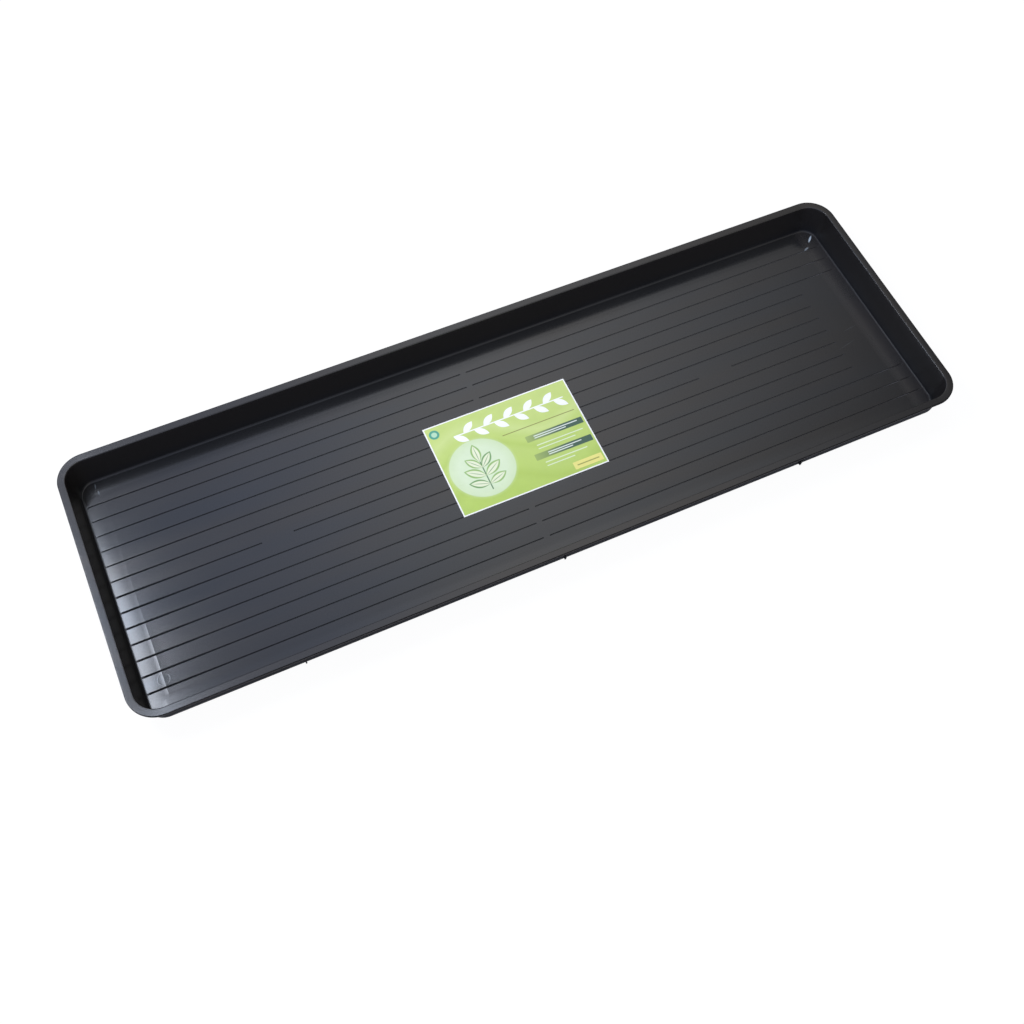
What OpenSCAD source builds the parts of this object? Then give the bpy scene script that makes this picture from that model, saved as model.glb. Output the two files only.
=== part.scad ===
// Long plant drip tray: one plastic moulding with a rolled-over rim, a leaning wall,
// a floor that rises gently to the wall and thirteen drainage grooves, and a paper label
// stuck to the floor. Length runs along X, width along Y, height along Z.
// The origin is at the middle of the base, on the surface that the tray rests on.

/* [Overall size] */
// Length over the rim
tray_length = 1200; // [700:10:1600]
// Width over the rim
tray_width = 400; // [300:5:600]
// Height from the base to the top of the rim
tray_height = 50; // [36:1:90]
// Radius of the corners of the flat floor, inside its rising margin
floor_corner_radius = 0.4; // [0.4:0.4:20]

/* [Rim] */
// Width of the rim, from its outer edge to the wall
rim_width = 10.4; // [9:0.2:20]
// Thickness of the rim and of the lip that turns down from it
rim_thickness = 2.4; // [1.6:0.1:3]
// Height of the lip at the rim's outer edge
lip_height = 4; // [3.4:0.2:12]
// Radius of the rim's outer upper edge
rim_edge_radius = 1.2; // [0.4:0.1:2]
// Radius of the rim's inner edge, where it turns down into the wall
rim_inner_radius = 2.5; // [1:0.5:5]

/* [Wall] */
// Thickness of the wall, measured level
wall_thickness = 2.4; // [1.6:0.1:3]
// How far the wall leans in between the rim and the floor
wall_lean = 6.4; // [3:0.2:14]
// Radius of the fillet between the wall and the floor, inside the tray
wall_foot_radius = 5.5; // [3:0.5:9]

/* [Floor] */
// Thickness of the floor in its flat middle
floor_thickness = 2.2; // [1.6:0.1:3]
// Width of the margin that rises to the wall
margin_width = 22.8; // [18:0.4:40]
// Rise of the margin from the flat floor to the wall
margin_rise = 0.6; // [0.5:0.1:3]

/* [Grooves] */
// Number of grooves across the floor, an odd number
groove_count = 13; // [9:2:17]
// Width of a groove at the floor
groove_width = 1.6; // [1.2:0.1:3]
// Depth of a groove in the floor
groove_depth = 1; // [0.6:0.1:1.4]
// Lean of a groove's sides, in degrees
groove_draft = 8; // [2:1:14]
// Distance from the outermost grooves to the rising margin
groove_margin = 14.6; // [8:0.2:20]
// Number of middle grooves that stop short of one end, an odd number
short_groove_count = 7; // [3:2:9]
// Length of the plain floor past the ends of the short grooves
plain_end = 54.8; // [20:0.2:120]
// Gap across every groove at the middle of the pattern
middle_gap = 10.5; // [4:0.5:30]
// Place of the middle of the pattern along the tray
pattern_middle = -25.4; // [-60:0.2:20]
// Length of the gap in the middle groove before the middle of the pattern
near_gap = 46; // [20:1:80]
// Distance of that gap from the middle of the pattern
near_gap_offset = 332; // [200:1:340]
// Length of the gap in the middle groove past the middle of the pattern
far_gap = 56; // [20:1:80]
// Distance of that gap from the middle of the pattern
far_gap_offset = 340; // [200:1:360]

/* [Stiffening] */
// Number of gussets under the rim on each long side
gusset_count = 3; // [2:1:5]
// Distance between gussets
gusset_pitch = 365; // [100:5:380]
// Place of the middle of the gusset row along the tray
gusset_offset = -18; // [-30:1:30]
// Thickness of a gusset
gusset_thickness = 2; // [1.2:0.1:4]
// How far a gusset stands out from the wall at its lower end
gusset_stand_out = 2.9; // [1:0.1:4]

/* [Label] */
// Length of the label
label_length = 221; // [100:1:300]
// Width of the label
label_width = 152.7; // [60:1:200]
// Thickness of the label
label_thickness = 0.3; // [0.1:0.1:0.6]
// Place of the label's middle along the tray
label_x = -5.9; // [-200:1:200]
// Place of the label's middle across the tray
label_y = 2.75; // [-30:0.5:30]

/* [Hidden] */

// Angle that each straight step turns in the rounds of the wall's section
round_step_angle = 18;
// Steps round a whole circle, for the corners
$fn = 96;
// Overrun that carries one solid or cut past the face of another
overrun = 1;
// How far a groove runs into the fillet at its end
groove_run_in = 0.5;
// Angle that one corner of the tray turns through
corner_angle = 90;
// Number of sides of the tray
side_count = 4;

// Distances in from the rim's outer edge
wall_foot_inset = rim_width + wall_lean;
ring_inset = wall_foot_inset + margin_width;
corner_radius = ring_inset + floor_corner_radius;

// Heights and the wall's outer face
wall_foot_height = floor_thickness + margin_rise;
rim_underside = tray_height - rim_thickness;
wall_slope = wall_lean / (tray_height - wall_foot_height);
outer_top_inset = rim_width + wall_slope * rim_thickness - wall_thickness;
outer_foot_inset = wall_foot_inset + wall_slope * wall_foot_height - wall_thickness;
outer_foot_radius = wall_foot_radius + wall_thickness;
gusset_root_inset = outer_foot_inset - wall_slope * outer_foot_radius;
gusset_foot_inset = gusset_root_inset - gusset_stand_out;
gusset_top_inset = (rim_thickness + outer_top_inset) / 2;

// Groove pattern
floor_half_length = tray_length / 2 - ring_inset;
floor_half_width = tray_width / 2 - ring_inset;
groove_pitch = 2 * (floor_half_width - groove_margin) / (groove_count - 1);
groove_far_end = tray_length / 2 - wall_foot_inset - wall_foot_radius + groove_run_in;
groove_short_end = floor_half_length - plain_end;
groove_bottom = floor_thickness - groove_depth;
groove_tool_height = groove_depth + margin_rise + wall_foot_radius;
groove_half_bottom = groove_width / 2 - groove_depth * tan(groove_draft);
groove_half_mouth = groove_half_bottom + groove_tool_height * tan(groove_draft);

function unit(v) = v / norm(v);

// Points of an arc of radius r that rounds the corner b between a and c
function rounded(a, b, c, r) =
    let (u = unit(a - b))
    let (v = unit(c - b))
    let (half = acos(u * v) / 2)
    let (centre = b + unit(u + v) * r / sin(half))
    let (first = b + u * r / tan(half) - centre)
    let (turn = 180 - 2 * half)
    let (steps = ceil(turn / round_step_angle))
    let (sense = cross(first, b - centre) > 0 ? 1 : -1)
    [for (k = [0:steps])
        let (angle = atan2(first[1], first[0]) + sense * turn * k / steps)
        centre + r * [cos(angle), sin(angle)]];

// Section of rim, wall and margin, as distance in from the rim's edge and height
rim_corner = [0, tray_height];
wall_head = [rim_width, tray_height];
wall_foot = [wall_foot_inset, wall_foot_height];
outer_head = [outer_top_inset, rim_underside];
outer_foot = [outer_foot_inset, 0];
ring_section = concat(
    [[0, tray_height - lip_height]],
    rounded([0, 0], rim_corner, wall_head, rim_edge_radius),
    rounded(rim_corner, wall_head, wall_foot, rim_inner_radius),
    rounded(wall_head, wall_foot, [ring_inset, floor_thickness], wall_foot_radius),
    [[ring_inset, floor_thickness], [ring_inset, 0]],
    rounded([ring_inset, 0], outer_foot, outer_head, outer_foot_radius),
    [
        outer_head,
        [rim_thickness, rim_underside],
        [rim_thickness, tray_height - lip_height]
    ]
);

// A section turned round the corner axis, which lies corner_radius in from the edge
function about_corner(section) = [for (p = section) [corner_radius - p[0], p[1]]];

// The section swept round all four sides and corners
module ring(section) {
    for (side = [0:side_count - 1]) {
        half_lengths = [tray_length / 2, tray_width / 2];
        reach = half_lengths[side % 2] - corner_radius;
        run = half_lengths[(side + 1) % 2] - corner_radius;
        rotate(corner_angle * side) translate([reach, run, 0]) {
            rotate_extrude(angle = corner_angle) polygon(about_corner(section));
            rotate([corner_angle, 0, 0]) linear_extrude(height = 2 * run)
                polygon(about_corner(section));
        }
    }
}

module floor_plate() {
    half_length = tray_length / 2 - ring_inset + overrun;
    half_width = tray_width / 2 - ring_inset + overrun;
    translate([-half_length, -half_width, 0])
        cube([2 * half_length, 2 * half_width, floor_thickness]);
}

// One stretch of groove from x = start to x = stop
module groove(start, stop) {
    translate([start, 0, groove_bottom]) rotate([90, 0, 90])
        linear_extrude(height = stop - start) polygon([
            [-groove_half_bottom, 0],
            [groove_half_bottom, 0],
            [groove_half_mouth, groove_tool_height],
            [-groove_half_mouth, groove_tool_height]
        ]);
}

// A groove in its stretches between the gaps, which are given as [middle, length]
module broken_groove(start, stop, gaps) {
    starts = concat([start], [for (g = gaps) g[0] + g[1] / 2]);
    stops = concat([for (g = gaps) g[0] - g[1] / 2], [stop]);
    for (k = [0:len(starts) - 1]) groove(starts[k], stops[k]);
}

module grooves() {
    centre_row = (groove_count - 1) / 2;
    short_rows = (short_groove_count - 1) / 2;
    middle = [pattern_middle, middle_gap];
    before = [pattern_middle - near_gap_offset, near_gap];
    after = [pattern_middle + far_gap_offset, far_gap];
    for (row = [-centre_row:centre_row]) {
        stop = abs(row) <= short_rows ? groove_short_end : groove_far_end;
        gaps = row == 0 ? [before, middle, after] : [middle];
        translate([0, row * groove_pitch, 0]) broken_groove(-groove_far_end, stop, gaps);
    }
}

// One gusset on the wall's outer face, in the plane across the tray
module gusset() {
    rotate([corner_angle, 0, corner_angle])
        linear_extrude(height = gusset_thickness, center = true) polygon([
            [-gusset_foot_inset, outer_foot_radius],
            [-gusset_top_inset, rim_underside],
            [-outer_top_inset - wall_thickness / 2, rim_underside],
            [-gusset_root_inset - wall_thickness / 2, outer_foot_radius]
        ]);
}

module gussets() {
    for (k = [0:gusset_count - 1]) {
        x = gusset_offset + (k - (gusset_count - 1) / 2) * gusset_pitch;
        translate([x, tray_width / 2, 0]) gusset();
        mirror([0, 1, 0]) translate([x, tray_width / 2, 0]) gusset();
    }
}

module tray() {
    color([0.13, 0.13, 0.14]) difference() {
        union() {
            ring(ring_section);
            floor_plate();
            gussets();
        }
        grooves();
    }
}

module label() {
    color([0.66, 0.8, 0.36]) translate([label_x, label_y, floor_thickness])
        linear_extrude(height = label_thickness)
            square([label_length, label_width], center = true);
}

tray();
label();
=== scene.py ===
import math

import bpy
import numpy as np
from mathutils import Euler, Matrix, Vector, noise


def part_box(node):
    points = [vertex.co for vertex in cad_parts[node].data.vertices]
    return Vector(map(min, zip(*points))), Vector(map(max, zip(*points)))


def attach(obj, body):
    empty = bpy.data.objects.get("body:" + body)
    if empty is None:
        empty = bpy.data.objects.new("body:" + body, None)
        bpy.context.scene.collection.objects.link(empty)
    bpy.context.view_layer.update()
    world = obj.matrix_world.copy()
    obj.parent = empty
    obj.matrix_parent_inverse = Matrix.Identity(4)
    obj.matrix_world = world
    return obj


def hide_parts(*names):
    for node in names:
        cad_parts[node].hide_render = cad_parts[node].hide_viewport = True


# Sizes are in millimetres, with the origin at the middle of the base, and meshes are made in metres
MM = 0.001

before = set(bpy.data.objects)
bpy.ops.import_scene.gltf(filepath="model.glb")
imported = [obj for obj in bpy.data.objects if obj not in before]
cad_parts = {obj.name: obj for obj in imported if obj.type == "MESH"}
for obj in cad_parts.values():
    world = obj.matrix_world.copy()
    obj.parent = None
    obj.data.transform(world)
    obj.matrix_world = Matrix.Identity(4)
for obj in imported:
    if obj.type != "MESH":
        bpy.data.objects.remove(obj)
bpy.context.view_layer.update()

tray_high = np.array(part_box("tray")[1]) / MM
label_low, label_high = (np.array(corner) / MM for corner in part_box("label"))
HALF_LENGTH, HALF_WIDTH, HEIGHT = tray_high
FLOOR = label_low[2]

# Rim and lip
RIM_WIDTH = 10.4
RIM_THICKNESS = 2.4
LIP_HEIGHT = 4.0
LIP_ROUND = 0.6
OUTER_EDGE_ROUND = 0.9
INNER_EDGE_ROUND = 1.5
RIM_ROOT_ROUND = 0.8
# How far the rim falls from its outer edge to its inner one
RIM_FALL = 0.42
# The right rim lies lower by the drop, with its inner edge lifted and its middle swollen
RIGHT_RIM_DROP = 0.08
RIGHT_RIM_LIFT = 0.35
RIGHT_RIM_SWELL = 0.07

# Wall and the margin of the floor
WALL_THICKNESS = 2.4
WALL_LEAN = 6.4
WALL_FOOT_ROUND = 3.6
MARGIN_RISE = 0.6
CORNER_RADIUS = 40.0
CORNER_STEPS = 24

# Slight warp of the moulding: the long sides of the floor curl up, its ends stay flat and the left
# one dips, which all fades out over a height above the foot of the wall
CURL_START = 150.0
CURL_REACH = 33.0
CURL_RISE = 0.7
LEFT_END_DIP = 0.25
WARP_FADE_HEIGHT = 20.0

# Waves and ripples of the floor: their lengths along and across, the slices of noise that they are
# taken from, the ripples' share and the depth that they give together
WAVE_LENGTHS = (90.0, 60.0)
WAVE_SLICE = 3.1
RIPPLE_LENGTHS = (35.0, 30.0)
RIPPLE_SLICE = 7.7
RIPPLE_SHARE = 0.15
WAVE_DEPTH = 0.06

# Section of a groove: a round hollow between eased edges, whose bend lies at a share of the edge's
# width and has a share of the groove's depth
GROOVE_COUNT = 13
GROOVE_PITCH = 24.3
GROOVE_WIDTH = 1.6
GROOVE_DEPTH = 1.0
GROOVE_EDGE = 0.3
GROOVE_EDGE_BEND = (0.25, 0.04)
GROOVE_ROUND_STEPS = 5

# The grooves run from wall to wall with a gap at the middle of the pattern, but the middle ones stop
# short of the right end, and the middlemost has two more gaps, each given as its middle and length
SHORT_COUNT = 7
SHORT_GROOVE_END = 505.6
PATTERN_MIDDLE = -25.4
MIDDLE_GAP = 10.5
NEAR_GAP = (-357.4, 46.0)
FAR_GAP = (314.6, 56.0)
# The length over which a groove comes to its depth beside a gap
GROOVE_TAPER = 0.8
# Where the grooves end at the walls, and the length over which their bottoms curve up to that
GROOVE_STOP_INSET = 20.5
GROOVE_RUN_OUT = 8.0
# How far past those ends the section's lines still follow the grooves
GROOVE_TAIL = 2.0

# The grooves widen by a share towards the front left
FLARE = 0.65
FLARE_START = -465.0
FLARE_BACK = 60.0
FLARE_REACH = 60.0

# Witness line that the mould's insert leaves on the floor, strongest near the front left corner
WITNESS_INSET = 45.3
WITNESS_HALF_WIDTH = 0.75
WITNESS_FLAT_SHARE = 0.4
WITNESS_HEIGHT = 0.12
WITNESS_LEFT_SHARE = 0.22
WITNESS_FAINT_SHARE = 0.05
WITNESS_STRONG = (-560.0, -115.0)
WITNESS_STRONG_REACH = 75.0

# Gussets under the rim
GUSSET_PLACES = (-383.0, -18.0, 347.0)
GUSSET_THICKNESS = 2.0
GUSSET_STAND_OUT = 2.9

# The paper label dips a little over each groove
PAPER_DIP = 0.1
PAPER_DIP_REACH = 2.0

# Spacing of mesh lines where nothing calls for a finer one, and the angle that makes an edge sharp
LENGTH_SPACING = 12.0
WIDTH_SPACING = 9.0
SHARP_ANGLE = 35.0


def unit(v):
    return v / np.linalg.norm(v)


def rounded(a, b, c, radius, steps):
    """Points of an arc that rounds the corner b between a and c."""
    a, b, c = (np.array(p, float) for p in (a, b, c))
    u, v = unit(a - b), unit(c - b)
    half = math.acos(float(u @ v)) / 2
    centre = b + unit(u + v) * radius / math.sin(half)
    first = b + u * radius / math.tan(half) - centre
    last = b + v * radius / math.tan(half) - centre
    start = math.atan2(first[1], first[0])
    turn = math.atan2(last[1], last[0]) - start
    turn = (turn + math.pi) % (2 * math.pi) - math.pi
    angles = [start + turn * k / steps for k in range(steps + 1)]
    return [tuple(centre + radius * np.array((math.cos(t), math.sin(t)))) for t in angles]


def between(a, b, count):
    """Evenly spaced points strictly between a and b."""
    a, b = np.array(a), np.array(b)
    return [tuple(a + (b - a) * k / (count + 1)) for k in range(1, count + 1)]


# Corners of the section, as distance in from the rim's edge and height. The rim's outer corner lies
# higher than the tray by what its rounding takes off.
rim_corner = (0.0, HEIGHT + OUTER_EDGE_ROUND * RIM_FALL / RIM_WIDTH)
wall_head = (RIM_WIDTH, HEIGHT - RIM_FALL)
wall_foot = (RIM_WIDTH + WALL_LEAN, FLOOR + MARGIN_RISE)
margin_edge = (CORNER_RADIUS, FLOOR)
base_edge = (CORNER_RADIUS, 0.0)
lip_foot = (0.0, HEIGHT - LIP_HEIGHT)
lip_inside = (RIM_THICKNESS, HEIGHT - LIP_HEIGHT)
rim_root = (RIM_THICKNESS, HEIGHT - RIM_THICKNESS)
wall_slope = WALL_LEAN / (wall_head[1] - wall_foot[1])
outer_head = (RIM_WIDTH + wall_slope * RIM_THICKNESS - WALL_THICKNESS, HEIGHT - RIM_THICKNESS)
outer_foot = (wall_foot[0] + wall_slope * wall_foot[1] - WALL_THICKNESS, 0.0)
outer_foot_round = WALL_FOOT_ROUND + WALL_THICKNESS


def upper_section():
    """From the lip's outer face over the rim and down the wall to the floor."""
    lip = rounded(lip_inside, lip_foot, rim_corner, LIP_ROUND, steps=3)
    outer_edge = rounded(lip_foot, rim_corner, wall_head, OUTER_EDGE_ROUND, steps=6)
    inner_edge = rounded(rim_corner, wall_head, wall_foot, INNER_EDGE_ROUND, steps=8)
    fillet = rounded(wall_head, wall_foot, margin_edge, WALL_FOOT_ROUND, steps=12)
    rim = between(outer_edge[-1], inner_edge[0], count=5)
    wall = between(inner_edge[-1], fillet[0], count=6)
    margin = between(fillet[-1], margin_edge, count=9)
    return lip + outer_edge + rim + inner_edge + wall + fillet + margin


def lower_section():
    """From the base out round the foot and up to the inside of the lip."""
    foot = rounded(base_edge, outer_foot, outer_head, outer_foot_round, steps=10)
    root = rounded(outer_foot, outer_head, rim_root, RIM_ROOT_ROUND, steps=3)
    lip_root = rounded(outer_head, rim_root, lip_inside, RIM_ROOT_ROUND, steps=3)
    lip = rounded(rim_root, lip_inside, lip_foot, LIP_ROUND, steps=3)
    base = between(base_edge, foot[0], count=3)
    wall = between(foot[-1], root[0], count=4)
    return base + foot + wall + root + lip_root + lip


def mesh_lines(marks, spacing):
    """The marks in order, with evenly spaced lines added where they lie far apart."""
    marks = sorted(set(round(m, 4) for m in marks))
    lines = []
    for a, b in zip(marks, marks[1:]):
        count = max(1, math.ceil((b - a) / spacing))
        lines += [a + (b - a) * k / count for k in range(count)]
    return np.array(lines + [marks[-1]])


outer_row = GROOVE_COUNT // 2
groove_rows = range(-outer_row, outer_row + 1)
inner_half_length = HALF_LENGTH - CORNER_RADIUS
inner_half_width = HALF_WIDTH - CORNER_RADIUS
witness_left = -HALF_LENGTH + WITNESS_INSET
witness_right = SHORT_GROOVE_END + WITNESS_HALF_WIDTH
witness_side = HALF_WIDTH - WITNESS_INSET


def stretches(row):
    """The stretches of one row of groove, from wall to wall or to its short end."""
    far = HALF_LENGTH - GROOVE_STOP_INSET
    stop = SHORT_GROOVE_END if abs(row) <= SHORT_COUNT // 2 else far
    gaps = [(PATTERN_MIDDLE, MIDDLE_GAP)]
    if row == 0:
        gaps = [NEAR_GAP] + gaps + [FAR_GAP]
    starts = [-far] + [middle + length / 2 for middle, length in gaps]
    stops = [middle - length / 2 for middle, length in gaps] + [stop]
    return list(zip(starts, stops))


def groove_profile():
    """Lines across half a groove, as distance from its middle and share of its depth there."""
    half = GROOVE_WIDTH / 2
    angles = [math.radians(90 * k / GROOVE_ROUND_STEPS) for k in range(1, GROOVE_ROUND_STEPS + 1)]
    hollow = [(half * math.cos(a), math.sin(a)) for a in angles]
    bend_place, bend_share = GROOVE_EDGE_BEND
    return [(half + GROOVE_EDGE, 0.0), (half + GROOVE_EDGE * bend_place, bend_share)] + hollow


GROOVE_PROFILE = groove_profile()


def witness_marks(line):
    """Mesh lines that the ridge of the witness line needs."""
    shares = (-1, -WITNESS_FLAT_SHARE, WITNESS_FLAT_SHARE, 1)
    return [line + share * WITNESS_HALF_WIDTH for share in shares]


def length_marks():
    """Places along the tray that need a mesh line."""
    marks = [-inner_half_length, inner_half_length]
    for row in (0, outer_row):
        for start, stop in stretches(row):
            marks += [start - GROOVE_TAPER, start, stop, stop + GROOVE_TAPER]
    marks += witness_marks(witness_left) + witness_marks(witness_right)
    return [m for m in marks if abs(m) <= inner_half_length]


def width_marks():
    """Places across the tray that need a mesh line."""
    marks = [-inner_half_width, inner_half_width]
    for row in groove_rows:
        for offset, _ in GROOVE_PROFILE:
            marks += [row * GROOVE_PITCH - offset, row * GROOVE_PITCH + offset]
    return marks + witness_marks(-witness_side) + witness_marks(witness_side)


def groove_share(y):
    """Share of a groove's depth at a place across the floor, and the row of the nearest groove."""
    row = round(y / GROOVE_PITCH)
    if abs(row) > outer_row:
        return 0.0, row
    offsets, shares = zip(*reversed(GROOVE_PROFILE))
    return float(np.interp(abs(y - row * GROOVE_PITCH), offsets, shares)), row


def flared(x, y):
    """Place across the tray, moved out beside a groove where the grooves widen at the front left."""
    row = round(y / GROOVE_PITCH)
    offset = y - row * GROOVE_PITCH
    if abs(row) > outer_row or abs(offset) > GROOVE_WIDTH / 2 + 2 * GROOVE_EDGE:
        return y
    along = min(1.0, max(0.0, (FLARE_START - x) / FLARE_REACH))
    across = min(1.0, max(0.0, (FLARE_BACK - y) / FLARE_REACH))
    return y + offset * FLARE * along * across


def groove_reach(x, row):
    """1 inside a stretch of the row's groove, 0 outside, and between them at its ends."""
    reach = 0.0
    for start, stop in stretches(row):
        reach = max(reach, min(1.0, 1 - max(start - x, x - stop) / GROOVE_TAPER))
    return reach


def groove_bottom(x):
    """Level bottom of a groove, which curves up where it runs out at the wall."""
    run_out = max(0.0, abs(x) - (HALF_LENGTH - GROOVE_STOP_INSET - GROOVE_RUN_OUT))
    return FLOOR - GROOVE_DEPTH + GROOVE_DEPTH * (run_out / GROOVE_RUN_OUT) ** 2


def witness_height(x, y):
    """Low ridge along the outline of the mould's insert."""
    distance = abs(max(witness_left - x, x - witness_right, abs(y) - witness_side))
    away = math.dist((x, y), WITNESS_STRONG) / WITNESS_STRONG_REACH
    faint = WITNESS_LEFT_SHARE if x < 0 else WITNESS_FAINT_SHARE
    strength = faint + (1 - faint) * max(0.0, 1 - away ** 2)
    ridge = float(np.interp(distance / WITNESS_HALF_WIDTH, (WITNESS_FLAT_SHARE, 1.0), (1.0, 0.0)))
    return WITNESS_HEIGHT * strength * ridge


def warp(x, y, z):
    """How far the floor lies above or below its true section, fading out up the wall."""
    margin = CORNER_RADIUS - wall_foot[0]
    curl = CURL_RISE * min(1.0, max(0.0, abs(y) - CURL_START) / CURL_REACH) ** 2
    end_share = min(1.0, max(0.0, abs(x) - HALF_LENGTH + CORNER_RADIUS) / margin)
    side_share = min(1.0, max(0.0, abs(y) - HALF_WIDTH + CORNER_RADIUS) / margin)
    dip = LEFT_END_DIP * end_share ** 2 if x < 0 else 0.0
    flatten = (MARGIN_RISE * end_share + dip) * (1 - side_share)
    return (curl - flatten) * max(0.0, 1 - max(0.0, z - wall_foot[1]) / WARP_FADE_HEIGHT)


def rim_lift(x, inset, z):
    """How far the right rim departs from the section, because it is crowned and falls less inwards."""
    if z < HEIGHT - RIM_THICKNESS or x < inner_half_length:
        return 0.0
    facing = (x - inner_half_length) / (CORNER_RADIUS - inset)
    share = min(1.0, inset / RIM_WIDTH)
    crown = 4 * RIGHT_RIM_SWELL * share * (1 - share)
    return facing * (RIGHT_RIM_LIFT * share + crown - RIGHT_RIM_DROP)


def unevenness(x, y):
    """Gentle waves that a large flat moulding has, here a little below the true floor."""
    wave = noise.noise(Vector((x / WAVE_LENGTHS[0], y / WAVE_LENGTHS[1], WAVE_SLICE)))
    ripple = noise.noise(Vector((x / RIPPLE_LENGTHS[0], y / RIPPLE_LENGTHS[1], RIPPLE_SLICE)))
    waves = wave + RIPPLE_SHARE * ripple
    return -WAVE_DEPTH * (1 + waves)


def floor_height(x, y, z):
    """Height of the floor or the foot of the wall, where the true section has the height z."""
    share, row = groove_share(y)
    height = z + warp(x, y, z) + witness_height(x, y) + unevenness(x, y)
    depth = share * groove_reach(x, row) if share > 0 else 0.0
    return height - depth * max(0.0, height - groove_bottom(x))


def stations(xs, ys):
    """Anchors on the inner rectangle and directions out from them, anticlockwise from the front left."""
    anchors, outs = [], []

    def side(points, out):
        for p in points:
            anchors.append(p)
            outs.append(out)

    def corner(point, start):
        for k in range(1, CORNER_STEPS):
            angle = math.radians(start + 90 * k / CORNER_STEPS)
            anchors.append(point)
            outs.append((math.cos(angle), math.sin(angle)))

    left, right, front, back = xs[0], xs[-1], ys[0], ys[-1]
    side([(x, front) for x in xs], (0, -1))
    corner((right, front), -90)
    side([(right, y) for y in ys], (1, 0))
    corner((right, back), 0)
    side([(x, back) for x in xs[::-1]], (0, 1))
    corner((left, back), 90)
    side([(left, y) for y in ys[::-1]], (-1, 0))
    corner((left, front), 180)
    return anchors, outs


def fanned_edge(rows):
    """Edge of a grid in the order of the stations, with each corner repeated for its fan."""
    fan = CORNER_STEPS - 1
    edge = rows[0] + [rows[0][-1]] * fan
    edge += [row[-1] for row in rows] + [rows[-1][-1]] * fan
    edge += rows[-1][::-1] + [rows[-1][0]] * fan
    return edge + [row[0] for row in rows[::-1]] + [rows[0][0]] * fan


def plain_edge(rows):
    """Edge of a grid, anticlockwise from the front left."""
    edge = rows[0] + [row[-1] for row in rows[1:]]
    return edge + rows[-1][-2::-1] + [row[0] for row in rows[-2:0:-1]]


def quads(rows):
    """Faces of a grid that look up."""
    faces = []
    for near, far in zip(rows, rows[1:]):
        faces += zip(near, near[1:], far[1:], far)
    return faces


def band(a, b):
    """Faces between two loops, with three sides where two corners are the same vertex."""
    corners = zip(a, a[1:] + a[:1], b[1:] + b[:1], b)
    faces = [tuple(dict.fromkeys(four)) for four in corners]
    return [face for face in faces if len(face) > 2]


def new_object(name, verts, faces):
    """A mesh object in the scene, from places in millimetres."""
    mesh = bpy.data.meshes.new(name)
    mesh.from_pydata([tuple(float(c) * MM for c in v) for v in verts], [], faces)
    mesh.validate()
    thing = bpy.data.objects.new(name, mesh)
    bpy.context.scene.collection.objects.link(thing)
    return thing


def gusset(x, side):
    """One thin gusset on a long side, as eight corners and six faces."""
    root = outer_foot[0] - wall_slope * outer_foot_round
    profile = [
        (root - GUSSET_STAND_OUT, outer_foot_round),
        ((RIM_THICKNESS + outer_head[0]) / 2, outer_head[1]),
        (outer_head[0] + WALL_THICKNESS / 2, outer_head[1]),
        (root + WALL_THICKNESS / 2, outer_foot_round),
    ]
    verts = []
    for half in (-GUSSET_THICKNESS / 2, GUSSET_THICKNESS / 2):
        verts += [(x + half, side * (HALF_WIDTH - inset), z) for inset, z in profile]
    faces = [(0, 1, 2, 3), (7, 6, 5, 4)]
    faces += [(k, k + 4, (k + 1) % 4 + 4, (k + 1) % 4) for k in range(4)]
    if side > 0:
        faces = [face[::-1] for face in faces]
    return verts, faces


def tray_mesh():
    """The moulding: floor, underside, the section swept round them and the gussets."""
    xs = mesh_lines(length_marks(), LENGTH_SPACING)
    ys = mesh_lines(width_marks(), WIDTH_SPACING)
    anchors, outs = stations(xs, ys)
    verts = []

    def line(places, height):
        """Vertices over a line of places, as the list of their numbers."""
        first = len(verts)
        verts.extend((x, flared(x, y), height(x, y)) for x, y in places)
        return list(range(first, len(verts)))

    def loop(inset, height):
        """A line all round the tray at a distance in from the rim's edge."""
        reach = CORNER_RADIUS - inset
        places = [(ax + ox * reach, ay + oy * reach) for (ax, ay), (ox, oy) in zip(anchors, outs)]
        return line(places, height)

    top = [line([(x, y) for x in xs], lambda x, y: floor_height(x, y, FLOOR)) for y in ys]
    # The flat underside has full rows at the front and back, and only their ends between
    bottom = []
    for y in ys:
        across = xs if y in (ys[0], ys[-1]) else (xs[0], xs[-1])
        bottom.append(line([(x, y) for x in across], lambda x, y: 0.0))
    upper = []
    for inset, z in upper_section():
        if inset > GROOVE_STOP_INSET - GROOVE_TAIL:
            upper.append(loop(inset, lambda x, y: floor_height(x, y, z)))
        else:
            upper.append(loop(inset, lambda x, y: z + warp(x, y, z) + rim_lift(x, inset, z)))
    lower = [loop(inset, lambda x, y: z) for inset, z in lower_section()]
    faces = []
    for skin in (upper + [fanned_edge(top)], [fanned_edge(bottom)] + lower + [upper[0]]):
        for a, b in zip(skin, skin[1:]):
            faces += band(a, b)
    faces += quads(top)
    faces += [tuple(back + front[::-1]) for front, back in zip(bottom, bottom[1:])]
    for x in GUSSET_PLACES:
        for side in (-1, 1):
            corners, sides = gusset(x, side)
            faces += [tuple(len(verts) + k for k in face) for face in sides]
            verts += corners
    return new_object("tray_moulding", verts, faces)


def paper_dip(y):
    """How far the paper's top dips over the nearest groove."""
    away = abs(y - round(y / GROOVE_PITCH) * GROOVE_PITCH)
    return PAPER_DIP * max(0.0, 1 - away / PAPER_DIP_REACH) ** 2


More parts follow.
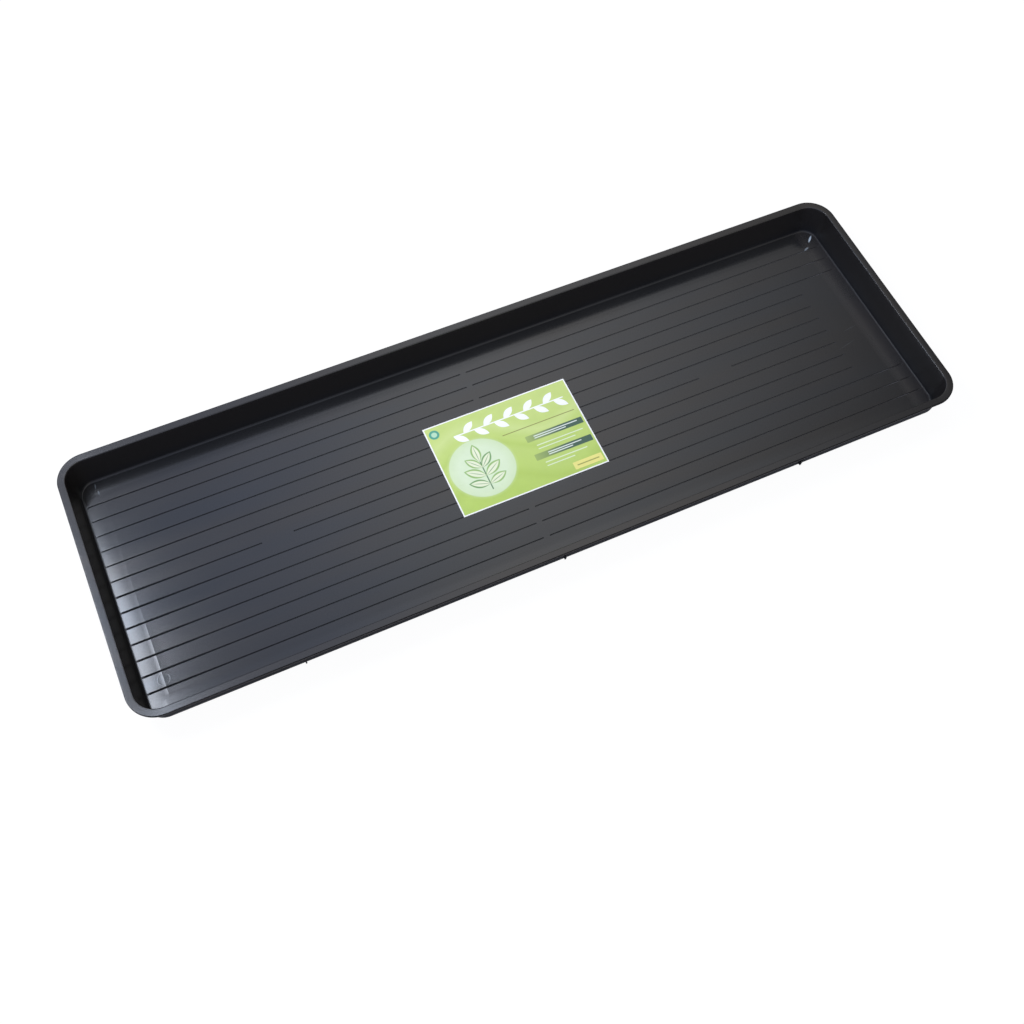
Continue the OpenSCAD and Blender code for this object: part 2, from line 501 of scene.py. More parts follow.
def label_mesh():
    """The paper label, level underneath."""
    low, high = label_low, label_high
    offsets = [share * PAPER_DIP_REACH for share in (-1, -0.5, 0, 0.5, 1)]
    marks = [row * GROOVE_PITCH + offset for row in groove_rows for offset in offsets]
    xs = mesh_lines((low[0], high[0]), LENGTH_SPACING)
    ys = mesh_lines([low[1], high[1]] + [m for m in marks if low[1] < m < high[1]], WIDTH_SPACING)
    verts = []

    def sheet(height):
        """Rows of vertices over the label, as lists of their numbers."""
        rows = []
        for y in ys:
            rows.append([len(verts) + k for k in range(len(xs))])
            verts.extend((x, y, height(y)) for x in xs)
        return rows

    under = sheet(lambda y: low[2])
    top = sheet(lambda y: high[2] - paper_dip(y))
    faces = quads(top) + [face[::-1] for face in quads(under)]
    faces += band(plain_edge(under), plain_edge(top))
    return new_object("paper_label", verts, faces)


def shade(thing):
    """Smooth shading that keeps the sharp edges."""
    mesh = thing.data
    mesh.shade_smooth()
    mesh.set_sharp_from_angle(angle=math.radians(SHARP_ANGLE))
    weighted = thing.modifiers.new("weighted", "WEIGHTED_NORMAL")
    weighted.keep_sharp = True


# Soft edges of masks and printed shapes, and the range that holds nearly all of a noise's values
MASK_SOFT = 0.2
SHAPE_SOFT = 0.35
NOISE_RANGE = (0.3, 0.7)


def colour(red, green, blue):
    """A display colour from 0 to 255 as the linear colour that nodes take, by the sRGB curve."""
    def linear(c):
        c /= 255
        return c / 12.92 if c <= 0.04045 else ((c + 0.055) / 1.055) ** 2.4
    return (linear(red), linear(green), linear(blue), 1.0)


class Nodes:
    """Short ways to add and join the nodes of one material or world."""

    def __init__(self, owner):
        owner.use_nodes = True
        self.owner = owner
        self.tree = owner.node_tree
        self.shader = self.tree.nodes.get("Principled BSDF")

    def add(self, kind, **settings):
        node = self.tree.nodes.new(kind)
        for key, value in settings.items():
            setattr(node, key, value)
        return node

    def feed(self, socket, value):
        """Gives a socket a value or links it to another socket."""
        if isinstance(value, bpy.types.NodeSocket):
            self.tree.links.new(value, socket)
        else:
            socket.default_value = value

    def math(self, operation, *values):
        node = self.add("ShaderNodeMath", operation=operation)
        for socket, value in zip(node.inputs, values):
            self.feed(socket, value)
        return node.outputs[0]

    def vector(self, operation, *values):
        node = self.add("ShaderNodeVectorMath", operation=operation)
        for socket, value in zip(node.inputs, values):
            self.feed(socket, value)
        single = operation in ("LENGTH", "DISTANCE", "DOT_PRODUCT")
        return node.outputs["Value" if single else "Vector"]

    def plus(self, total, *others):
        for other in others:
            total = self.math("ADD", total, other)
        return total

    def times(self, product, *others):
        for other in others:
            product = self.math("MULTIPLY", product, other)
        return product

    def rest(self, share):
        """What a share leaves of 1."""
        return self.math("SUBTRACT", 1, share)

    def distance(self, value, place):
        """How far a value lies from a place, in the value's own units."""
        return self.math("ABSOLUTE", self.math("SUBTRACT", value, place))

    def spread(self, value, low, high, to_low, to_high):
        """The range from low to high taken to another one, and held at its ends."""
        node = self.add("ShaderNodeMapRange")
        self.feed(node.inputs["Value"], value)
        for key, number in (("From Min", low), ("From Max", high), ("To Min", to_low), ("To Max", to_high)):
            node.inputs[key].default_value = number
        return node.outputs[0]

    def fade(self, value, ends):
        """0 at the first of two ends in millimetres and past it, 1 at the second and past that."""
        return self.spread(value, ends[0] * MM, ends[1] * MM, 0, 1)

    def vary(self, fac, low, high):
        """A noise's usual range taken to low and high."""
        return self.spread(fac, *NOISE_RANGE, low, high)

    def split(self, place):
        """The x, y and z of a place."""
        node = self.add("ShaderNodeSeparateXYZ")
        self.feed(node.inputs[0], place)
        return tuple(node.outputs)

    def mapped(self, place, kind, **inputs):
        """A place moved, turned or scaled by the inputs of a mapping node."""
        node = self.add("ShaderNodeMapping", vector_type=kind)
        self.feed(node.inputs["Vector"], place)
        for key, value in inputs.items():
            node.inputs[key].default_value = value
        return node.outputs[0]

    def object_place(self):
        return self.add("ShaderNodeTexCoord").outputs["Object"]

    def flat_place(self, middle):
        """Place in millimetres from a middle, looked at from above."""
        location = (-middle[0], -middle[1], 0)
        return self.mapped(self.object_place(), "POINT", Location=location, Scale=(1 / MM, 1 / MM, 0))

    def noise(self, place, scale, detail=2.0, rough=0.5):
        node = self.add("ShaderNodeTexNoise")
        self.feed(node.inputs["Vector"], place)
        for key, number in (("Scale", scale), ("Detail", detail), ("Roughness", rough)):
            node.inputs[key].default_value = number
        return node.outputs["Fac"]

    def blend(self, share, a, b):
        """Colour a where the share is 0, and b where it is 1."""
        node = self.add("ShaderNodeMix", data_type="RGBA")
        # The mix node has its colours in the sockets 6 and 7 and its mixed colour in 2
        for number, value in ((0, share), (6, a), (7, b)):
            self.feed(node.inputs[number], value)
        return node.outputs[2]

    def paint(self, under, share, tint):
        """A display colour laid over what is under it, by a share."""
        return self.blend(share, under, colour(*tint))

    def bump(self, height):
        """Normal of a surface raised by a height in millimetres."""
        node = self.add("ShaderNodeBump")
        self.feed(node.inputs["Height"], height)
        node.inputs["Distance"].default_value = MM
        return node.outputs[0]

    def inside(self, distance, soft):
        """1 where a signed distance lies inside a shape, 0 outside, with a soft edge."""
        return self.spread(distance, -soft, soft, 1, 0)

    def bar(self, place, middle, half_size, radius, soft=SHAPE_SOFT):
        """A bar with rounded corners."""
        offset = self.vector("ABSOLUTE", self.vector("SUBTRACT", place, (*middle, 0)))
        core = [max(0.0, half - radius) for half in half_size]
        over = self.vector("MAXIMUM", self.vector("SUBTRACT", offset, (*core, 0)), (0, 0, 0))
        return self.inside(self.math("SUBTRACT", self.vector("LENGTH", over), radius), soft)

    def disc(self, place, middle, radius, soft=SHAPE_SOFT):
        away = self.vector("DISTANCE", place, (*middle, 0))
        return self.inside(self.math("SUBTRACT", away, radius), soft)

    def ring(self, place, middle, radius, reach):
        """1 on a circle, falling to 0 at a reach to either side of it."""
        away = self.distance(self.vector("DISTANCE", place, (*middle, 0)), radius)
        return self.spread(away, 0, reach, 1, 0)

    def leaf(self, place, root, angle, length, width, soft=SHAPE_SOFT):
        """A shape like a leaf, pointed at its root and its tip, that grows from its root at an angle."""
        turn = (0, 0, math.radians(angle))
        size = (length, width / 2, 1)
        grown = self.mapped(place, "TEXTURE", Location=(*root, 0), Rotation=turn, Scale=size)
        along, across, _ = self.split(grown)
        bulge = self.times(along, self.rest(along), 4)
        edge = self.times(self.math("SUBTRACT", self.math("ABSOLUTE", across), bulge), width / 2)
        return self.inside(edge, soft)

    def seen(self, lit, shown):
        """A shader that lights other things, but that the camera sees as the one shown."""
        path = self.add("ShaderNodeLightPath")
        mix = self.add("ShaderNodeMixShader")
        for socket, value in zip(mix.inputs, (path.outputs["Is Camera Ray"], lit, shown)):
            self.feed(socket, value)
        return mix.outputs[0]

    def diffuse(self, grey):
        node = self.add("ShaderNodeBsdfDiffuse")
        node.inputs["Color"].default_value = (grey, grey, grey, 1)
        return node.outputs[0]


# Regions of the plastic. An inset or band is a distance in from the rim's edge, and each pair is the
# height, or the place along x or y, where a region starts and the one where it is full.
INSIDE_INSET = 17.6
INSIDE_HEIGHTS = (0.5, 0.7)
HOLLOW_HEIGHTS = (1.9, 1.4)
LIP_BAND = 0.9
END_STRIP = (550.0, 562.0)
END_WALL = (579.0, 581.5)
LEFT_WALL = tuple(-place for place in END_WALL)
WALL_HEIGHTS = (2.9, 4.2)
RIM_HEIGHTS = (46.0, 48.0)
POLISHED_BACK = (150.0, 162.0)

# Colours of the plastic, as displayed, and the heights or places where some of them fade in
PLASTIC_DARK = (23, 24, 26)
PLASTIC_PALE = (31, 31, 32)
WALL_COLOUR = (31, 29, 28)
WALL_COLOUR_HEIGHTS = (6.0, 20.0)
# Painted light: a paler colour on the foot of the left wall that lifts the shade there, which fades in
# above its base and out towards its top
LEFT_FOOT_PAINTED_LIGHT = (47, 47, 46)
LEFT_FOOT_BASE = (3.2, 4.2)
LEFT_FOOT_TOP = (20.0, 5.0)
# Grooves paler towards the right, and paler still at their right ends
PALE_GROOVE_COLOUR = (48, 47, 48)
PALE_GROOVE_PLACES = (-100.0, 280.0)
GROOVE_END_COLOUR = (76, 75, 77)
GROOVE_END_PLACES = (525.0, 550.0)
# Painted shade: a black band on the lip under the rim's edge
LIP_PAINTED_SHADE = (12, 11, 11)
# Painted highlight along the lip, a paler line which fades in between two distances from its height
LIP_PAINTED_HIGHLIGHT = (92, 84, 78)
LIP_HIGHLIGHT_HEIGHT = 47.5
LIP_HIGHLIGHT_REACH = (0.6, 0.4)
# Painted light: a paler strip of the floor before the right wall, which stands in for its reflection
END_STRIP_PAINTED_LIGHT = (44, 42, 41)
END_STRIP_TOP = (5.0, 3.0)
# Colour of the painted highlights and pale streaks on the floor
HIGHLIGHT_AND_STREAK_COLOUR = (205, 218, 226)
# Painted highlights: small pale marks at the back corners where the corner catches the light, then two
# faint pale streaks near the right ends of the middle grooves, as root, angle, length, width and strength
PAINTED_HIGHLIGHTS_AND_STREAKS = (
    ((577.5, 168.5), 225, 15, 2.8, 0.8),
    ((562.0, 150.0), 200, 10, 3.0, 0.25),
    ((-559, 178), 262, 9, 1.6, 0.12),
    ((-558, 167), 268, 8, 1.8, 0.14),
    ((505, -38), 12, 30, 1.2, 0.02),
    ((528, -12), 8, 22, 1.0, 0.025),
)

# Noises in the plastic, as scales per metre
TONE_SCALE = 9.0
STREAK_SCALE = 5.0
STREAK_STRETCH = (0.5, 3.5, 1.0)
STREAK_ROUGH = 0.55
GRAIN_SCALE = 900.0

# Roughness of the floor over the range of its streaks, and what each region and the grain add to it
FLOOR_ROUGHNESS = (0.145, 0.185)
WALL_ROUGHNESS = 0.14
RIM_ROUGHNESS = -0.09
POLISH_ROUGHNESS = -0.02
END_STRIP_ROUGHNESS = 0.12
GRAIN_ROUGHNESS = 0.015

# Reflection: its share on the walls and the lip, its loss in the grooves between two places along x, and
# its tint, from bluish to warm over a range of the streaks. The lower share on the lip and the loss in the
# grooves are painted shade.
REFRACTIVE_INDEX = 1.49
WALL_SHINE = 0.3
LIP_SHINE = 0.3
GROOVE_SHADE_PLACES = (-560.0, -300.0)
GROOVE_PAINTED_SHADE = (0.96, 0.16)
TINT_RANGE = (0.35, 0.65)
NO_SHINE = (0.0, 0.0, 0.0, 1.0)
BLUISH = (0.91, 0.95, 1.0, 1.0)
WARM = (1.0, 0.98, 0.96, 1.0)

# Relief: heights of the grain, and the round mark of an ejector pin
FLOOR_GRAIN = 0.0006
WALL_GRAIN = 0.0015
EJECTOR_PLACE = (-554.5, -134.0)
EJECTOR_RADIUS = 8.0
EJECTOR_REACH = 0.7
EJECTOR_HEIGHT = 0.03


class Regions:
    """Places on the tray, and shares from 0 to 1 that tell its regions apart."""

    def __init__(self, n):
        self.place = n.object_place()
        self.above = n.flat_place((0, 0))
        self.x, self.y, self.z = n.split(self.place)
        # Inside the foot of the wall, and above the underside
        self.inside = n.times(self.outline(n, INSIDE_INSET), n.fade(self.z, INSIDE_HEIGHTS))
        # The hollows of the grooves
        self.hollow = n.times(self.inside, n.fade(self.z, HOLLOW_HEIGHTS))
        # The last strip of the floor before the right wall
        self.strip = n.times(n.fade(self.x, END_STRIP), self.inside)
        # The outermost band of the rim, which turns down
        self.lip = n.rest(self.outline(n, LIP_BAND))
        # The walls with the rim, the floor, and the rim by itself
        end_wall = n.fade(n.math("ABSOLUTE", self.x), END_WALL)
        self.wall = n.math("MAXIMUM", n.fade(self.z, WALL_HEIGHTS), end_wall)
        self.floor = n.rest(self.wall)
        self.rim = n.fade(self.z, RIM_HEIGHTS)

    def outline(self, n, inset):
        """1 within a line round the tray at a distance in from the rim's edge."""
        half_size = (HALF_LENGTH - inset, HALF_WIDTH - inset)
        return n.bar(self.above, (0, 0), half_size, CORNER_RADIUS - inset, MASK_SOFT)


def plastic_colour(n, tray):
    """Nearly black, with a paler wall and grooves paler towards the right, and painted light: a lighter
    foot of the left wall, a paler end strip, painted shade and a highlight line on the lip, and painted
    highlights at the back corners.
    """
    tone = n.noise(tray.place, TONE_SCALE, detail=3.0)
    base = n.blend(tone, colour(*PLASTIC_DARK), colour(*PLASTIC_PALE))
    foot_light_heights = n.times(n.fade(tray.z, LEFT_FOOT_BASE), n.fade(tray.z, LEFT_FOOT_TOP))
    off_highlight = n.distance(tray.z, LIP_HIGHLIGHT_HEIGHT * MM)
    layers = (
        (n.fade(tray.z, WALL_COLOUR_HEIGHTS), WALL_COLOUR),
        # Painted light on the foot of the left wall
        (n.times(n.fade(tray.x, LEFT_WALL), foot_light_heights), LEFT_FOOT_PAINTED_LIGHT),
        (n.times(tray.hollow, n.fade(tray.x, PALE_GROOVE_PLACES)), PALE_GROOVE_COLOUR),
        (n.times(tray.hollow, n.fade(tray.x, GROOVE_END_PLACES)), GROOVE_END_COLOUR),
        # Painted shade on the lip, then a painted highlight line along it
        (tray.lip, LIP_PAINTED_SHADE),
        (n.times(tray.lip, n.fade(off_highlight, LIP_HIGHLIGHT_REACH)), LIP_PAINTED_HIGHLIGHT),
        # Painted light on the strip before the right wall
        (n.times(tray.strip, n.fade(tray.z, END_STRIP_TOP)), END_STRIP_PAINTED_LIGHT),
    )
    for share, tint in layers:
        base = n.paint(base, share, tint)
    # Painted highlights at the back corners, and faint pale streaks
    for root, angle, length, width, strength in PAINTED_HIGHLIGHTS_AND_STREAKS:
        pale_mark = n.leaf(tray.above, root, angle, length, width)
        base = n.paint(base, n.times(pale_mark, strength, tray.inside), HIGHLIGHT_AND_STREAK_COLOUR)
    return base


def plastic_roughness(n, tray, streaks, grain):
    """The floor is polished, and the wall and rim are duller."""
    return n.plus(
        n.vary(streaks, *FLOOR_ROUGHNESS),
        n.times(tray.wall, WALL_ROUGHNESS),
        n.times(tray.rim, RIM_ROUGHNESS),
        n.times(n.fade(tray.y, POLISHED_BACK), tray.floor, POLISH_ROUGHNESS),
        n.times(tray.strip, tray.floor, END_STRIP_ROUGHNESS),
        n.vary(grain, -GRAIN_ROUGHNESS, GRAIN_ROUGHNESS),
    )


def plastic_shine(n, tray, streaks):
    """Tint of the reflection, which is fainter on the walls, with painted shade that makes it fainter on
    the lip and in the grooves.
    """
    shine = n.plus(n.spread(tray.wall, 0, 1, 1, WALL_SHINE), n.times(tray.rim, 1 - WALL_SHINE))
    # Painted shade: reflection taken out of the grooves, most at the left
    start, end = GROOVE_SHADE_PLACES
    groove_shade = n.spread(tray.x, start * MM, end * MM, *GROOVE_PAINTED_SHADE)
    shine = n.math("SUBTRACT", shine, n.times(tray.hollow, groove_shade))
    # Painted shade: the lip reflects less
    shine = n.times(shine, n.spread(tray.lip, 0, 1, 1, LIP_SHINE))
    tint = n.blend(n.spread(streaks, *TINT_RANGE, 0, 1), BLUISH, WARM)
    return n.blend(shine, NO_SHINE, tint)


def plastic_relief(n, tray, grain):
    """A fine grain, deeper on the walls and rim, and the ring of the ejector mark."""
    grain_height = n.times(grain, n.spread(tray.wall, 0, 1, FLOOR_GRAIN, WALL_GRAIN))
    ring = n.ring(tray.above, EJECTOR_PLACE, EJECTOR_RADIUS, EJECTOR_REACH)
    return n.bump(n.plus(grain_height, n.times(ring, EJECTOR_HEIGHT, tray.inside)))


def black_plastic():
    """The moulding's plastic, with streaks where the melt flowed along the tray."""
    n = Nodes(bpy.data.materials.new("black_plastic"))
    tray = Regions(n)
    stretched = n.mapped(tray.place, "POINT", Scale=STREAK_STRETCH)
    streaks = n.noise(stretched, STREAK_SCALE, detail=3.0, rough=STREAK_ROUGH)
    grain = n.noise(tray.place, GRAIN_SCALE)
    n.feed(n.shader.inputs["Base Color"], plastic_colour(n, tray))
    n.feed(n.shader.inputs["Roughness"], plastic_roughness(n, tray, streaks, grain))
    n.feed(n.shader.inputs["Specular Tint"], plastic_shine(n, tray, streaks))
    n.feed(n.shader.inputs["Normal"], plastic_relief(n, tray, grain))
    n.shader.inputs["IOR"].default_value = REFRACTIVE_INDEX
    return n.owner


# Print on the label, with places from its middle and colours as displayed
PAPER_BORDER = 1.8
BORDER_ROUND = 0.4
PAPER_WHITE = (255, 253, 247)
WHITE_INK = (255, 254, 247)

# Ground, which turns from one lime to another up the label. Its heights follow a wave, whose turn is
# in radians per millimetre.
LIME = (183, 208, 96)
PALE_LIME = (202, 219, 126)
LIME_HEIGHTS = (-80, 70)
PRINT_WAVE_TURN = 0.028
PRINT_WAVE_SWING = 22
# Sweeps over the ground, as height, reach to either side and colour
SWEEPS = (
    (34, 15, (216, 229, 152)),
    (4, 9, (178, 203, 88)),
    (-50, 14, (172, 197, 84)),
)

# Pale disc, in layers of radius, softness and colour
DISC_PLACE = (-56, -14)
DISC_LAYERS = (
    (47, 0.6, (212, 229, 180)),
    (42, 9, (222, 236, 198)),
)
# Sprig on the disc: its stem starts below the disc's middle by the drop
STEM_DROP = 38
STEM_LENGTH = 48
STEM_HALF_WIDTH = 0.8
STEM_COLOUR = (86, 128, 84)
# Leaves of the sprig, as height of the root on the stem, angle and length
SPRIG_LEAVES = (
    (10, 20, 30),
    (10, 160, 30),
    (24, 32, 32),
    (24, 148, 32),
    (38, 46, 28),
    (38, 134, 28),
    (48, 90, 30),
)
LEAF_WIDTH_SHARE = 0.46
LEAF_DARK = (118, 162, 96)
LEAF_PALE = (150, 188, 106)
HEART_LENGTH_SHARE = 0.92
HEART_WIDTH_SHARE = 0.3
HEART_COLOUR = (236, 240, 204)
MIDRIB_LENGTH_SHARE = 0.84
MIDRIB_WIDTH = 0.9
MIDRIB_COLOUR = (110, 150, 96)

# Garland of white leaves along the top, with its stem
GARLAND_LEAVES = 11
GARLAND_START = (-74.0, 48.0)
GARLAND_PITCH = 15.5
GARLAND_STEM_HALF_WIDTH = 0.9
GARLAND_ANGLE = 38
GARLAND_LEAF_SIZE = (23, 10)

# Thin rule under the garland
RULE_MIDDLE = (46, 22)
RULE_HALF_SIZE = (56, 0.5)
RULE_ROUND = 0.4
RULE_COLOUR = (116, 110, 44)

# Dark bars that fade in from the left, as height and half the length of the lines on them
DARK_BARS = ((2, 34), (-30, 26))
DARK_BAR_X = 62
DARK_BAR_HALF_SIZE = (44, 5.2)
BAR_ROUND = 1.0
DARK_BAR_COLOUR = (62, 92, 76)
DARK_BAR_FADE = (0, 70)
DARK_BAR_FAINT = 0.15
# Lines on each of them, as height from the bar's middle and share of the length
BAR_LINES = ((1.7, 1.0), (-1.7, 0.72))
# Lines below them, as height and share of the length
LOOSE_LINES = ((-12, 1.0), (-18, 0.8), (-42, 0.9), (-48, 0.6))
LOOSE_LINE_HALF_LENGTH = 36
# Looks of the lines, as half width and colour, and where the middle of a full line lies
BAR_LINE_LOOK = (0.7, (238, 244, 232))
LOOSE_LINE_LOOK = (0.8, (226, 238, 200))
LINE_X = 64

# Yellow tab with one line, and a round badge in layers of radius and colour
TAB_PLACE = (84, -64)
TAB_HALF_SIZE = (22, 6)
TAB_COLOUR = (240, 230, 132)
TAB_LINE_HALF_SIZE = (17, 0.8)
TAB_LINE_COLOUR = (150, 150, 70)
BADGE_PLACE = (-98, 62)
BADGE_LAYERS = (
    (7.5, (70, 160, 136)),
    (4.2, (184, 222, 186)),
)

# Paper and ink, with the scales of their noises per millimetre
MOTTLE_SCALE = 0.05
MOTTLE_SHARE = 0.07
MOTTLE_COLOUR = (120, 150, 90)
FIBRE_SCALE = 1.6
FIBRE_HEIGHT = 0.004
PAPER_ROUGHNESS = (0.36, 0.46)
BUCKLE_SCALE = 0.03
BUCKLE_HEIGHT = 0.5


def print_ground(n, place):
    """Soft sweeps of lime."""
    across, up, _ = n.split(place)
    level = n.plus(up, n.times(n.math("SINE", n.times(across, PRINT_WAVE_TURN)), PRINT_WAVE_SWING))
    ink = n.blend(n.spread(level, *LIME_HEIGHTS, 0, 1), colour(*LIME), colour(*PALE_LIME))
    for height, reach, tint in SWEEPS:
        ink = n.paint(ink, n.inside(n.distance(level, height), reach), tint)
    return ink


def print_sprig(n, place, ink):
    """Pale disc with a sprig of leaves."""
    for radius, soft, tint in DISC_LAYERS:
        ink = n.paint(ink, n.disc(place, DISC_PLACE, radius, soft), tint)
    x, foot = DISC_PLACE[0], DISC_PLACE[1] - STEM_DROP
    half_size = (STEM_HALF_WIDTH, STEM_LENGTH / 2)
    stem = n.bar(place, (x, foot + STEM_LENGTH / 2), half_size, STEM_HALF_WIDTH)
    ink = n.paint(ink, stem, STEM_COLOUR)
    for step, (height, angle, length) in enumerate(SPRIG_LEAVES):
        # Every third leaf is dark, from the second on
        leaf_colour = LEAF_DARK if step % 3 == 1 else LEAF_PALE
        layers = (
            (length, length * LEAF_WIDTH_SHARE, leaf_colour),
            (length * HEART_LENGTH_SHARE, length * HEART_WIDTH_SHARE, HEART_COLOUR),
            (length * MIDRIB_LENGTH_SHARE, MIDRIB_WIDTH, MIDRIB_COLOUR),
        )
        for long, wide, tint in layers:
            ink = n.paint(ink, n.leaf(place, (x, foot + height), angle, long, wide), tint)
    return ink


def print_garland(n, place, ink):
    """A row of white leaves on a stem, which lean to either side in turn."""
    x, y = GARLAND_START
    half = GARLAND_LEAVES * GARLAND_PITCH / 2
    stem = n.bar(place, (x + half, y), (half, GARLAND_STEM_HALF_WIDTH), GARLAND_STEM_HALF_WIDTH)
    ink = n.paint(ink, stem, WHITE_INK)
    for k in range(GARLAND_LEAVES):
        angle = GARLAND_ANGLE if k % 2 else -GARLAND_ANGLE
        leaf = n.leaf(place, (x + k * GARLAND_PITCH, y), angle, *GARLAND_LEAF_SIZE)
        ink = n.paint(ink, leaf, WHITE_INK)
    return ink


def print_bars(n, place, ink):
    """Plain bars and lines without any text, a tab and a badge."""
    def line(ink, height, half, share, look):
        """A line with a share of the full length, which starts where the full one does."""
        half_width, tint = look
        middle = (LINE_X - half * (1 - share), height)
        return n.paint(ink, n.bar(place, middle, (half * share, half_width), half_width), tint)

    ink = n.paint(ink, n.bar(place, RULE_MIDDLE, RULE_HALF_SIZE, RULE_ROUND), RULE_COLOUR)
    across = n.split(place)[0]
    fading = n.spread(across, *DARK_BAR_FADE, DARK_BAR_FAINT, 1)
    for height, half in DARK_BARS:
        bar = n.bar(place, (DARK_BAR_X, height), DARK_BAR_HALF_SIZE, BAR_ROUND)
        ink = n.paint(ink, n.times(bar, fading), DARK_BAR_COLOUR)
        for offset, share in BAR_LINES:
            ink = line(ink, height + offset, half, share, BAR_LINE_LOOK)
    for height, share in LOOSE_LINES:
        ink = line(ink, height, LOOSE_LINE_HALF_LENGTH, share, LOOSE_LINE_LOOK)
    ink = n.paint(ink, n.bar(place, TAB_PLACE, TAB_HALF_SIZE, BAR_ROUND), TAB_COLOUR)
    tab_line = n.bar(place, TAB_PLACE, TAB_LINE_HALF_SIZE, TAB_LINE_HALF_SIZE[1])
    ink = n.paint(ink, tab_line, TAB_LINE_COLOUR)
    for radius, tint in BADGE_LAYERS:
        ink = n.paint(ink, n.disc(place, BADGE_PLACE, radius), tint)
    return ink


def printed_paper():
    """White paper with a plain printed design inside a border."""
    n = Nodes(bpy.data.materials.new("printed_paper"))
    place = n.flat_place((label_low + label_high) / 2)
    ink = print_ground(n, place)
    for part in (print_sprig, print_garland, print_bars):
        ink = part(n, place, ink)
    half_size = ((label_high - label_low) / 2 - PAPER_BORDER)[:2]
    printed = n.bar(place, (0, 0), half_size, BORDER_ROUND)
    ink = n.blend(printed, colour(*PAPER_WHITE), ink)
    mottle = n.vary(n.noise(place, MOTTLE_SCALE, detail=4.0), 0, MOTTLE_SHARE)
    fibre = n.noise(place, FIBRE_SCALE, detail=3.0)
    buckle = n.noise(place, BUCKLE_SCALE)
    n.feed(n.shader.inputs["Base Color"], n.paint(ink, mottle, MOTTLE_COLOUR))
    n.feed(n.shader.inputs["Roughness"], n.vary(fibre, *PAPER_ROUGHNESS))
    height = n.plus(n.times(fibre, FIBRE_HEIGHT), n.times(buckle, BUCKLE_HEIGHT))
    n.feed(n.shader.inputs["Normal"], n.bump(height))
    return n.owner


tray = tray_mesh()
shade(tray)
tray.data.materials.append(black_plastic())
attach(tray, "root")
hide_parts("tray")

label = label_mesh()
shade(label)
label.data.materials.append(printed_paper())
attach(label, "root")
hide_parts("label")


# Camera at the photograph's viewing angle, with its place in metres, turn in degrees and lens in
# millimetres
CAMERA_PLACE = (-0.39067, -0.81863, 1.49334)
CAMERA_TURN = (28.2254, -1.6727, -24.6875)
CAMERA_LENS = 43.40
CAMERA_SHIFT = (-0.0288, 0.0005)

# Light of the room, where 1 is white. A soft patch high up at the back is brighter, with its reach in
# degrees, and the front is brighter by a gain, reached between two places along y of the direction
# looked in.
ROOM_LIGHT = 0.63
PATCH_DIRECTION = (0.19, 0.50, 0.83)
PATCH_REACH = 22.0
PATCH_LIGHT = 2.75
FRONT_ENDS = (0.05, -0.25)
FRONT_GAIN = 2.2
# Colours of the room from left to right, as place along x of the direction looked in, and tint
WALL_TINTS = (
    (0.0, (0.70, 0.77, 1.0)),
    (0.15, (0.87, 0.87, 0.88)),
    (0.30, (0.87, 0.86, 0.86)),
    (0.485, (0.66, 0.65, 0.65)),
    (0.53, (0.12, 0.12, 0.12)),
)
# Where the ramp's new stops are put before they are moved
RAMP_MIDDLE = 0.5
WHITE = (1.0, 1.0, 1.0, 1.0)

# Lamp, with its place and size in metres and its power in watts
LAMP_PLACE = (-1.115, 0.80, 1.8)
LAMP_SIZE = (0.64, 1.06)
LAMP_POWER = 32.0
LAMP_TINT = (0.83, 0.89, 1.0)

# Studio floor, in metres: the grey that lights the tray, and the glow and grey that the camera sees
STUDIO_FLOOR_SIZE = 40.0
STUDIO_FLOOR_DROP = 0.0002
STUDIO_FLOOR_GREY = 0.32
STUDIO_FLOOR_GLOW = 0.95
STUDIO_FLOOR_SEEN_GREY = 0.07


def make_camera():
    """The camera that the scene is rendered from."""
    data = bpy.data.cameras.new("camera")
    data.lens = CAMERA_LENS
    data.shift_x, data.shift_y = CAMERA_SHIFT
    camera = bpy.data.objects.new("camera", data)
    camera.location = CAMERA_PLACE
    camera.rotation_euler = Euler([math.radians(a) for a in CAMERA_TURN], "XYZ")
    bpy.context.scene.collection.objects.link(camera)
    bpy.context.scene.camera = camera


def make_lamp():
    """An oval soft lamp that faces straight down."""
    data = bpy.data.lights.new("lamp", "AREA")
    data.shape = "ELLIPSE"
    data.size, data.size_y = LAMP_SIZE
    data.energy = LAMP_POWER
    data.color = LAMP_TINT
    lamp = bpy.data.objects.new("lamp", data)
    lamp.location = LAMP_PLACE
    bpy.context.scene.collection.objects.link(lamp)


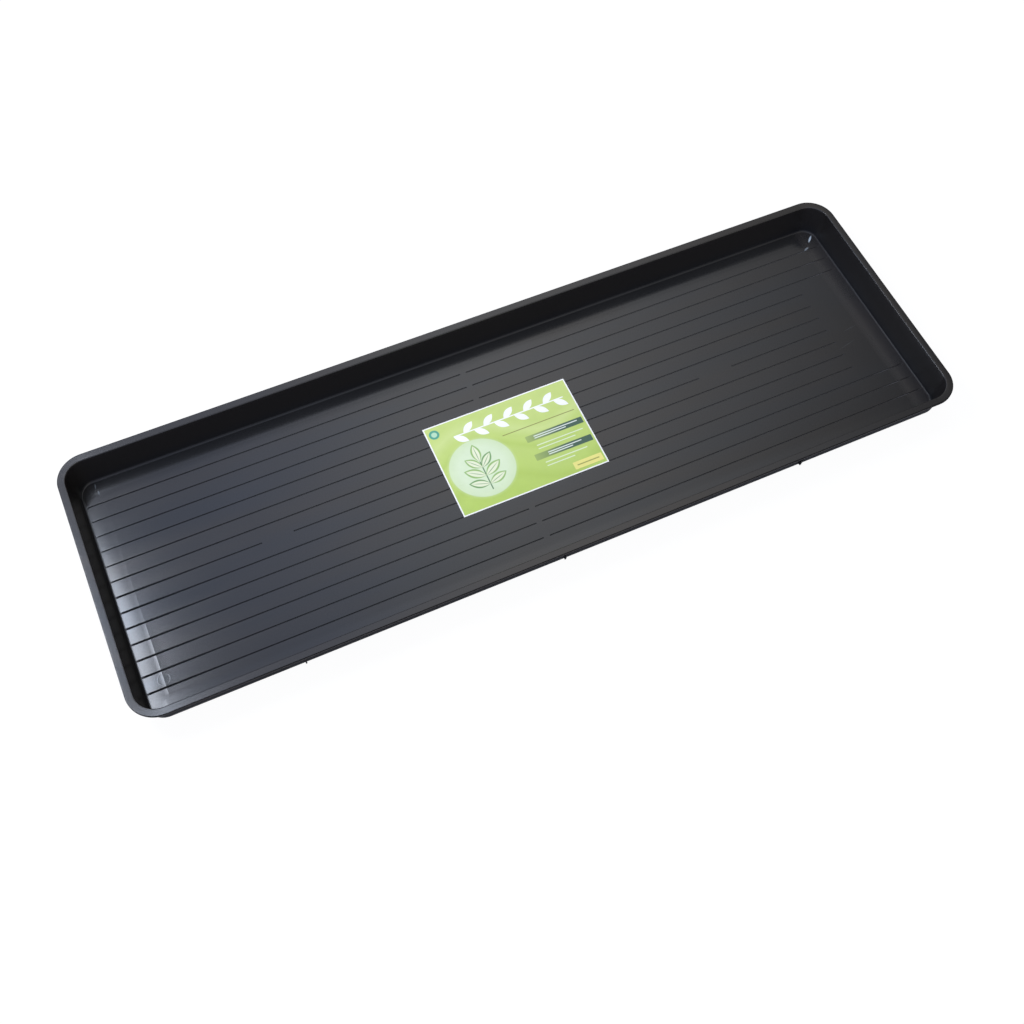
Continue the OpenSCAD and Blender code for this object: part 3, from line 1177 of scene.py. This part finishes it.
def studio_world():
    """A tinted room of light with a bright patch and front, which the camera sees as plain white."""
    n = Nodes(bpy.data.worlds.new("studio"))
    bpy.context.scene.world = n.owner
    look = n.add("ShaderNodeTexCoord").outputs["Generated"]
    x, y, _ = n.split(look)
    aim = n.vector("DOT_PRODUCT", look, Vector(PATCH_DIRECTION).normalized())
    off_patch = n.math("ARCCOSINE", aim)
    level = n.spread(off_patch, 0, math.radians(PATCH_REACH), PATCH_LIGHT, ROOM_LIGHT)
    front = n.spread(y, *FRONT_ENDS, 1, FRONT_GAIN)
    walls = n.add("ShaderNodeValToRGB")
    n.feed(walls.inputs[0], x)
    stops = walls.color_ramp.elements
    for _ in WALL_TINTS[len(stops):]:
        stops.new(RAMP_MIDDLE)
    for stop, (position, tint) in zip(stops, WALL_TINTS):
        stop.position = position
        stop.color = (*tint, 1.0)
    room = n.tree.nodes["Background"]
    n.feed(room.inputs["Strength"], n.times(level, front))
    n.feed(room.inputs["Color"], walls.outputs[0])
    plain = n.add("ShaderNodeBackground")
    plain.inputs["Color"].default_value = WHITE
    surface = n.tree.nodes["World Output"].inputs["Surface"]
    n.feed(surface, n.seen(room.outputs[0], plain.outputs[0]))


def white_floor():
    """A floor that the camera sees as nearly white and the tray is lit by as grey."""
    bpy.ops.mesh.primitive_plane_add(size=STUDIO_FLOOR_SIZE, location=(0, 0, -STUDIO_FLOOR_DROP))
    ground = bpy.context.object
    ground.name = "studio_floor"
    n = Nodes(bpy.data.materials.new("white_floor"))
    n.tree.nodes.remove(n.shader)
    glow = n.add("ShaderNodeEmission")
    glow.inputs["Strength"].default_value = STUDIO_FLOOR_GLOW
    shown = n.add("ShaderNodeAddShader")
    n.feed(shown.inputs[0], n.diffuse(STUDIO_FLOOR_SEEN_GREY))
    n.feed(shown.inputs[1], glow.outputs[0])
    surface = n.tree.nodes["Material Output"].inputs["Surface"]
    n.feed(surface, n.seen(n.diffuse(STUDIO_FLOOR_GREY), shown.outputs[0]))
    ground.data.materials.append(n.owner)


make_camera()
studio_world()
make_lamp()
white_floor()
bpy.context.scene.view_settings.view_transform = "Standard"
